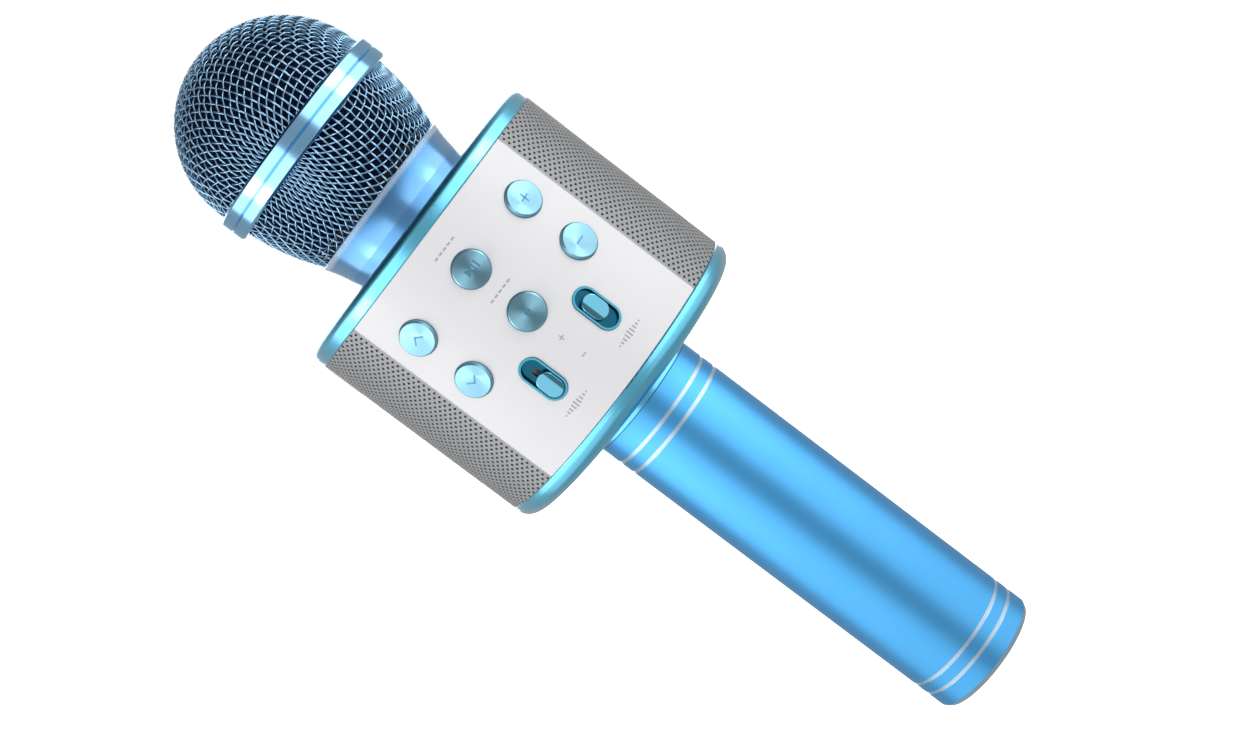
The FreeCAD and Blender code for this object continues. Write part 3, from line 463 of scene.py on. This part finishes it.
class Basket:
    """The line that the basket's wires follow: a barrel wall that closes to a round bottom, cut off later."""
    def __init__(self):
        self.top_r = basket_top_r - 2 * wire
        drop = band_middle - basket_foot
        chord = math.sqrt(basket_curve_r ** 2 - drop ** 2)
        slope = math.atan(drop / chord)
        self.cup_r = (self.top_r - basket_curve_r + chord) / math.cos(slope)
        self.cup_z = basket_foot + self.cup_r * math.sin(slope)
        self.pole = Vector((0, 0, self.cup_z - self.cup_r))

    def off(self, p):
        r = math.hypot(p.x, p.y)
        if p.z > band_middle:
            return r - self.top_r
        if p.z > basket_foot:
            return math.hypot(r - self.top_r + basket_curve_r, p.z - band_middle) - basket_curve_r
        return math.hypot(r, p.z - self.cup_z) - self.cup_r

    def out(self, p):
        r = max(math.hypot(p.x, p.y), 1e-6)
        flat = Vector((p.x / r, p.y / r, 0))
        if p.z > band_middle:
            return flat
        if p.z > basket_foot:
            rise = Vector((0, 0, p.z - band_middle))
            return (flat * (r - self.top_r + basket_curve_r) + rise).normalized()
        return (p - Vector((0, 0, self.cup_z))).normalized()


def first_wire(form, heading, count):
    """Crossings one pitch apart down a meridian from the pole."""
    crossings = [form.pole.copy()]
    heading = heading.normalized()
    across = Vector((0, 0, 1)).cross(heading)
    ahead = heading
    for _ in range(count):
        last = crossings[-1]
        p = last + ahead * wire_pitch
        for _ in range(6):
            p = p - form.out(p) * form.off(p)
            p = last + (p - last).normalized() * wire_pitch
            p = p - across * p.dot(across)
        ahead = (p - last).normalized()
        crossings.append(p)
    return crossings


def next_crossing(form, corner, left, right):
    """The point on the form that is one pitch from both neighbours: woven wires bend but don't stretch."""
    p = left + right - corner
    for _ in range(12):
        miss = Vector(((p - left).length_squared - wire_pitch ** 2,
                       (p - right).length_squared - wire_pitch ** 2, form.off(p)))
        slopes = Matrix(((p - left) * 2, (p - right) * 2, form.out(p)))
        if abs(slopes.determinant()) < 1e-9:
            return None
        step = slopes.inverted() @ miss
        if step.length > wire_pitch:
            step = step.normalized() * wire_pitch
        p = p - step
        if step.length < 1e-4:
            return p if (p - corner).length > 0.25 * wire_pitch else None
    return None


def crossings_over(form, count):
    """All crossings of the two sets of wires on the form. A quarter is laid out and turned round the axis."""
    turn = math.radians(weave_turn)
    first = first_wire(form, Vector((math.sin(turn), -math.cos(turn), 0)), count)
    second = first_wire(form, Vector((math.cos(turn), math.sin(turn), 0)), count)
    quarter = {(i, 0): p for i, p in enumerate(first)}
    quarter.update({(0, i): p for i, p in enumerate(second)})
    for total in range(2, 2 * count + 1):
        for i in range(max(1, total - count), min(total, count + 1)):
            j = total - i
            near = [quarter.get(key) for key in ((i - 1, j - 1), (i, j - 1), (i - 1, j))]
            if all(near):
                p = next_crossing(form, *near)
                if p:
                    quarter[i, j] = p
    whole = {}
    for (i, j), p in quarter.items():
        for _ in range(4):
            whole[i, j] = p
            i, j = -j, i
            p = Vector((-p.y, p.x, p.z))
    return whole


def wire_runs(form, crossings, count, low, high):
    """The wires between two heights, as points that pass over and under by turns."""
    for way in (0, 1):
        for fixed in range(-count, count + 1):
            run = []
            before = None
            for free in range(-count, count + 1):
                i, j = (fixed, free) if way == 0 else (free, fixed)
                p = crossings.get((i, j))
                if p is not None:
                    lift = (2 * wire) * (1 if (i + j + way) % 2 else -1)
                    p = p + form.out(p) * lift
                kept = p is not None and low <= p.z <= high
                if before is not None and p is not None and kept != (low <= before.z <= high):
                    limit = low if min(p.z, before.z) < low else high
                    run.append(before.lerp(p, (limit - before.z) / (p.z - before.z)))
                if kept:
                    run.append(p)
                elif run:
                    if len(run) > 2:
                        yield run
                    run = []
                before = p
            if len(run) > 2:
                yield run


def woven(name, form, count, low, high, node):
    """A piece of woven wire on a form."""
    curve = bpy.data.curves.new(name, "CURVE")
    curve.dimensions = "3D"
    for run in wire_runs(form, crossings_over(form, count), count, low, high):
        spline = curve.splines.new("NURBS")
        spline.points.add(len(run) - 1)
        for point, p in zip(spline.points, run):
            point.co = (*(p * mm), 1.0)
        spline.order_u = 3
        spline.use_endpoint_u = True
        spline.resolution_u = 3
    curve.bevel_depth = wire * mm
    curve.bevel_resolution = 1
    curve.use_fill_caps = True
    maker = bpy.data.objects.new(name + "_maker", curve)
    mesh = bpy.data.meshes.new_from_object(maker)
    bpy.data.objects.remove(maker)
    mesh.name = name
    place_mesh(mesh, name, "body", "woven_wire", [node], soft_below=80)


woven("woven_dome", Dome(), count=24, low=215.0, high=300.0, node="grille_dome")
woven("woven_basket", Basket(), count=30, low=189.6, high=213.4, node="grille_basket")


# Foam behind the weave

def foam_windscreen():
    """The foam liner: a soft barrel with a domed top, its skin slightly uneven."""
    low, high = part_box("windscreen_foam")
    bottom, top = low.z / mm, high.z / mm

    def face(depth):
        """The barrel from its foot up, and then the cap up to the axis."""
        points = []
        for k in range(13):
            z = bottom + foam_foot + (band_middle - bottom) * k / 12
            curve = math.sqrt(basket_curve_r ** 2 - (band_middle - z) ** 2)
            points.append((basket_top_r - foam_side_gap - depth - basket_curve_r + curve, z))
        r = top - dome_centre - depth
        for k in range(17):
            a = math.radians(90 * k / 16)
            points.append((max(r * math.cos(a), 0.0), dome_centre + r * math.sin(a)))
        return points

    bm = profile_spun(face(foam_skin) + face(foam_wall)[::-1], 96)
    for vert in bm.verts:
        vert.co += vert.normal * 0.12 * noise.noise(vert.co * 0.9)
    piece = finish_piece(bm, "foam_windscreen", "body", "black_foam", ["windscreen_foam"])


foam_windscreen()


# Loudspeaker grilles and the cloth behind them

def side_span(node):
    """The turns round the axis, in degrees, between which a side node lies, and its heights."""
    low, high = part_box(node)
    turns = [math.degrees(math.atan2(v.co.x, -v.co.y)) for v in nodes[node].data.vertices]
    return min(turns), max(turns), low.z / mm, high.z / mm


def punched_grille(side):
    """Curved sheet steel with 0.86 mm holes, staggered and 1.52 mm apart."""
    node = "speaker_grille_" + side
    start, end, low, high = side_span(node)
    width = math.radians(end - start) * panel_r
    height = high - low
    across = 2 * round(width / (2 * column_pitch))
    rows = 2 * round(height / (2 * row_pitch))
    bm = bmesh.new()
    bmesh.ops.create_grid(bm, x_segments=across, y_segments=rows, size=0.5)
    cell = Vector((1.0 / across, 1.0 / rows))
    middles = []
    for vert in bm.verts:
        column = round((vert.co.x + 0.5) / cell.x)
        row = round((vert.co.y + 0.5) / cell.y)
        inside_sheet = 0 < column < across and 0 < row < rows
        if inside_sheet and row % 2 and column % 2 == (1 if row % 4 == 1 else 0):
            middles.append(vert)
    bmesh.ops.scale(bm, vec=(width, height, 1), verts=bm.verts)
    bmesh.ops.dissolve_verts(bm, verts=middles)
    patches = [face for face in bm.faces if len(face.verts) == 8]
    bmesh.ops.inset_individual(bm, faces=patches, thickness=0.2, use_even_offset=True)
    for face in patches:
        centre = face.calc_center_median()
        for vert in face.verts:
            vert.co = centre + (vert.co - centre).normalized() * hole_r
    bmesh.ops.delete(bm, geom=patches, context="FACES_ONLY")
    wrapped(bm, panel_r - sheet_depth, (start + end) / 2)
    bmesh.ops.translate(bm, vec=(0, 0, (low + high) / 2), verts=bm.verts)
    for vert in bm.verts:
        flat = Vector((vert.co.x, vert.co.y, 0)).normalized()
        vert.co += flat * sheet_depth
    bmesh.ops.solidify(bm, geom=bm.faces, thickness=sheet_thickness)
    finish_piece(bm, "punched_grille_" + side, "body", "perforated_steel", [node])


def speaker_cloth(side):
    """Cloth stretched behind a grille, its weave laid out in metres along the surface."""
    node = "speaker_cloth_" + side
    start, end, low, high = side_span(node)
    radius = max(math.hypot(v.co.x, v.co.y) for v in nodes[node].data.vertices) / mm
    width = math.radians(end - start) * radius - cloth_margin
    height = high - low - cloth_margin
    bm = bmesh.new()
    threads = bm.loops.layers.uv.new("threads")
    bmesh.ops.create_grid(bm, x_segments=48, y_segments=24, size=0.5)
    bmesh.ops.scale(bm, vec=(width, height, 1), verts=bm.verts)
    for face in bm.faces:
        for loop in face.loops:
            loop[threads].uv = (loop.vert.co.x * mm, loop.vert.co.y * mm)
    for vert in bm.verts:
        ripple = noise.noise(Vector((vert.co.x, vert.co.y, 0)) * 0.15)
        vert.co.z = -cloth_depth + cloth_ripple * ripple
    wrapped(bm, radius, (start + end) / 2)
    bmesh.ops.translate(bm, vec=(0, 0, (low + high) / 2), verts=bm.verts)
    piece = finish_piece(bm, "stretched_cloth_" + side, "body", "black_cloth", [node])


for side in ("left", "right"):
    punched_grille(side)
    speaker_cloth(side)


# Marks on the buttons and the panel

def bar(bm, x, y, width, height, turn=0.0):
    """A flat bar of ink, turned in degrees."""
    made = bmesh.ops.create_cube(bm, size=1.0)["verts"]
    bmesh.ops.scale(bm, vec=(width, height, ink_thickness), verts=made)
    bmesh.ops.rotate(bm, cent=(0, 0, 0), matrix=Matrix.Rotation(math.radians(turn), 3, "Z"), verts=made)
    bmesh.ops.translate(bm, vec=(x, y, 0), verts=made)


def dot(bm, x, y, r, sides=20, turn=0.0):
    """A flat disc of ink, or a triangle where it has three sides."""
    made = bmesh.ops.create_cone(bm, cap_ends=True, segments=sides, radius1=r, radius2=r,
                                 depth=ink_thickness)["verts"]
    bmesh.ops.rotate(bm, cent=(0, 0, 0), matrix=Matrix.Rotation(math.radians(turn), 3, "Z"), verts=made)
    bmesh.ops.translate(bm, vec=(x, y, 0), verts=made)


def button_mark(name, body, turn, draw):
    """A mark on a button's face, which moves with the button."""
    low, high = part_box(body)
    bm = bmesh.new()
    draw(bm)
    facing(bm, turn, button_face_r + ink_lift, (low.z + high.z) / 2 / mm)
    finish_piece(bm, name, body, "button_metal", finish=etched_mark)


def chevron(bm, up):
    """An arrowhead: up is 1, or -1 where it points down."""
    bar(bm, -0.72, 0, 2.2, etched_stroke, 42 * up)
    bar(bm, 0.72, 0, 2.2, etched_stroke, -42 * up)


def play_pause(bm):
    dot(bm, -1.0, 0, 1.3, 3, -90)
    bar(bm, 0.8, 0, 0.45, 2.3)
    bar(bm, 1.8, 0, 0.45, 2.3)


def plus(bm):
    bar(bm, 0, 0, 2.6, etched_stroke)
    bar(bm, 0, 0, etched_stroke, 2.6)


button_mark("mark_up", "button_up", -button_angle, lambda bm: chevron(bm, 1))
button_mark("mark_down", "button_down", -button_angle, lambda bm: chevron(bm, -1))
button_mark("mark_play", "button_play", 0, play_pause)
button_mark("mark_record", "button_record", 0, lambda bm: dot(bm, 0, 0, 0.9))
button_mark("mark_plus", "button_plus", button_angle, plus)
button_mark("mark_minus", "button_minus", button_angle, lambda bm: bar(bm, 0, 0, 2.6, etched_stroke))


def panel_mark(name, turn, height, draw):
    """A mark printed on the curved front panel."""
    bm = bmesh.new()
    draw(bm)
    wrapped(bm, panel_r + ink_lift, turn)
    bmesh.ops.translate(bm, vec=(0, 0, height), verts=bm.verts)
    finish_piece(bm, name, "body", "white_shell", finish=ink_on_panel)


def small_plus(bm):
    bar(bm, 0, 0, 1.5, printed_stroke)
    bar(bm, 0, 0, printed_stroke, 1.5)


def dash_row(bm):
    for k in range(-2, 3):
        bar(bm, k * 1.5, 0, 1.0, 0.5)


def wave_bars(bm):
    for k in range(-4, 5):
        bar(bm, k * 0.95, 0, 0.42, 1.9 - 0.38 * abs(k))


panel_mark("print_plus", 0, 137.8, small_plus)
panel_mark("print_minus", 0, 131.3, lambda bm: bar(bm, 0, 0, 1.5, printed_stroke))
panel_mark("print_top", 0, 171.6, dash_row)
panel_mark("print_middle", 0, 155.6, dash_row)
panel_mark("print_left_slider", -slider_angle, 125.7, wave_bars)
panel_mark("print_right_slider", slider_angle, 125.7, wave_bars)


# Finishes on the nodes that stay

for node in nodes.values():
    slot = node.data.materials[0].name.split(".")[0]
    node.data.materials[0] = finishes[slot]
nodes["top_rim"].data.materials[0] = top_plating_painted_sheen
for side in ("left", "right"):
    nodes["slider_bezel_" + side].data.materials[0] = well
    nodes["slider_knob_" + side].data.materials[0] = knob


# Studio

def studio_floor():
    """A wide, pale floor under the handle's end face."""
    bm = bmesh.new()
    bmesh.ops.create_circle(bm, cap_ends=True, segments=96, radius=6.0)
    mesh = bpy.data.meshes.new("floor")
    bm.to_mesh(mesh)
    bm.free()
    material, tree, place = blank("matt_white_floor")
    cloud = add(tree, "TexNoise", {"Vector": place, "Scale": 3.0})
    white = add(tree, "Mix", {0: cloud.outputs["Fac"], 6: colour("#F6F6F6"), 7: colour("#FAFAFA")},
                data_type="RGBA")
    skin = add(tree, "BsdfPrincipled", {
        "Base Color": white.outputs[2], "Roughness": 0.9, "Emission Color": colour("#FFFFFF"),
        "Emission Strength": 1.0})
    add(tree, "OutputMaterial", {"Surface": skin.outputs[0]})
    mesh.materials.append(material)
    floor = bpy.data.objects.new("floor", mesh)
    floor.visible_glossy = False
    floor.visible_diffuse = False
    bpy.context.scene.collection.objects.link(floor)


def soft_box(name, turn, distance, height, width, tall, power):
    """A large soft light, turned round the axis from the front, that looks at the drum. All in metres."""
    a = math.radians(turn)
    data = bpy.data.lights.new(name, "AREA")
    data.shape = "RECTANGLE"
    data.size, data.size_y = width, tall
    data.energy = power
    light = bpy.data.objects.new(name, data)
    light.location = (math.sin(a) * distance, -math.cos(a) * distance, height)
    aim = Vector((0, 0, 0.13)) - light.location
    light.rotation_euler = aim.to_track_quat("-Z", "Y").to_euler()
    light.visible_camera = False
    bpy.context.scene.collection.objects.link(light)


def studio_air():
    """White behind the object, and a dim even light for what the soft boxes don't reach."""
    world = bpy.data.worlds.new("studio")
    world.use_nodes = True
    tree = world.node_tree
    tree.nodes.clear()
    seen = add(tree, "LightPath")
    way = add(tree, "SeparateXYZ", {0: add(tree, "TexCoord").outputs["Generated"]})
    overhead = add(tree, "MapRange", {
        "Value": way.outputs[2], "From Min": 0.45, "From Max": 0.9, "To Min": 0.41, "To Max": 0.03})
    fill = add(tree, "Mix", {0: seen.outputs["Is Diffuse Ray"], 2: overhead.outputs[0], 3: 0.42})
    strength = add(tree, "Mix", {0: seen.outputs["Is Camera Ray"], 2: fill.outputs[0], 3: 1.0})
    air = add(tree, "Background", {"Color": colour("#FFFFFF"), "Strength": strength.outputs[0]})
    add(tree, "OutputWorld", {"Surface": air.outputs[0]})
    bpy.context.scene.world = world


def camera():
    """A long lens a little above the drum, rolled so that the microphone lies across the frame."""
    yaw, dip, roll = (math.radians(v) for v in (-0.7196, 6.1214, -52.9348))
    ahead = Vector((math.sin(yaw) * math.cos(dip), math.cos(yaw) * math.cos(dip), -math.sin(dip)))
    level = ahead.cross(Vector((0, 0, 1))).normalized()
    above = level.cross(ahead)
    right = level * math.cos(roll) + above * math.sin(roll)
    up = above * math.cos(roll) - level * math.sin(roll)
    data = bpy.data.cameras.new("camera")
    data.lens = 70.86
    data.sensor_width = 36.0
    data.clip_start, data.clip_end = 0.01, 50.0
    obj = bpy.data.objects.new("camera", data)
    turned = Matrix((right, up, -ahead)).transposed().to_4x4()
    turned.translation = Vector((8.7943, -604.2960, 182.2316)) * mm
    obj.matrix_world = turned
    bpy.context.scene.collection.objects.link(obj)
    bpy.context.scene.camera = obj


studio_floor()
for side, way in (("left", -1), ("right", 1)):
    soft_box("box_" + side, turn=63 * way, distance=0.75, height=0.265, width=1.47, tall=0.73, power=4.35)
    soft_box("low_" + side, turn=63 * way, distance=0.75, height=-0.325, width=1.47, tall=0.45, power=1.0)
    soft_box("strip_" + side, turn=68 * way, distance=0.72, height=0.25, width=0.25, tall=0.2, power=0.7)
soft_box("back_fill", turn=180, distance=1.3, height=0.5, width=1.2, tall=1.2, power=6.0)
studio_air()
camera()
bpy.context.scene.view_settings.view_transform = "Standard"
